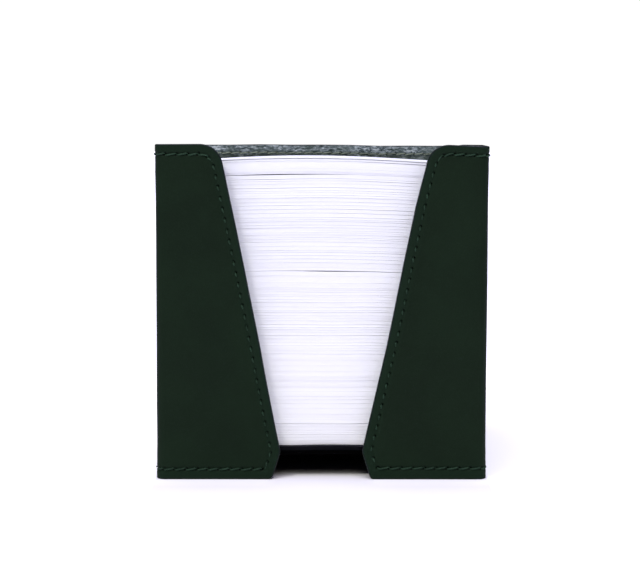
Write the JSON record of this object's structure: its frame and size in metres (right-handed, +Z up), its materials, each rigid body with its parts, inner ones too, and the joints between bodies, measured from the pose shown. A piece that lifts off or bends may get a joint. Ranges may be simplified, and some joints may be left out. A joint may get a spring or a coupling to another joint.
{
  "type": "note card holder",
  "caption": "Open-topped square leather desk box for loose note cards, with a V-shaped front window, a raised floor and a stitched edge; the cards lift out.",
  "frame": {"origin": "centre of the footprint, on the surface that the box stands on", "axes": "+Z up out of the open top, -Y out of the front window, +X to the right seen from the front"},
  "size_m": [0.1008, 0.1008, 0.1013],
  "materials": {
    "outer_leather": "matt fine-grained leather, very dark green, dark painted edges",
    "lining_leather": "rough flesh side, mottled grey-green",
    "floor_leather": "matt leather, very dark green",
    "board": "uncoated grey board",
    "thread": "waxed twisted thread, dark green",
    "card": "uncoated white"
  },
  "bodies": {
    "holder": {"outer_leather": "outer_leather", "lining_leather": "lining_leather", "board_left_flap": "board", "board_left_side": "board", "board_back": "board", "board_right_side": "board", "board_right_flap": "board", "floor_leather": "floor_leather", "floor_board": "board", "floor_underside_leather": "floor_leather", "needle_thread": "thread", "bobbin_thread": "thread"},
    "cards_lower": {"cards_lower": "card"},
    "cards_middle": {"cards_middle": "card"},
    "cards_upper": {"cards_upper": "card"},
    "cards_top": {"cards_top": "card"}
  },
  "joints": [
    {"name": "lower_lift", "type": "slide", "parent": "holder", "child": "cards_lower", "axis": [0, 0, 1], "range_m": [0, 0.095]},
    {"name": "middle_lift", "type": "slide", "parent": "cards_lower", "child": "cards_middle", "axis": [0, 0, 1], "range_m": [0, 0.042]},
    {"name": "upper_lift", "type": "slide", "parent": "cards_middle", "child": "cards_upper", "axis": [0, 0, 1], "range_m": [0, 0.013]},
    {"name": "top_lift", "type": "slide", "parent": "cards_upper", "child": "cards_top", "axis": [0, 0, 1], "range_m": [0, 0.008]}
  ]
}
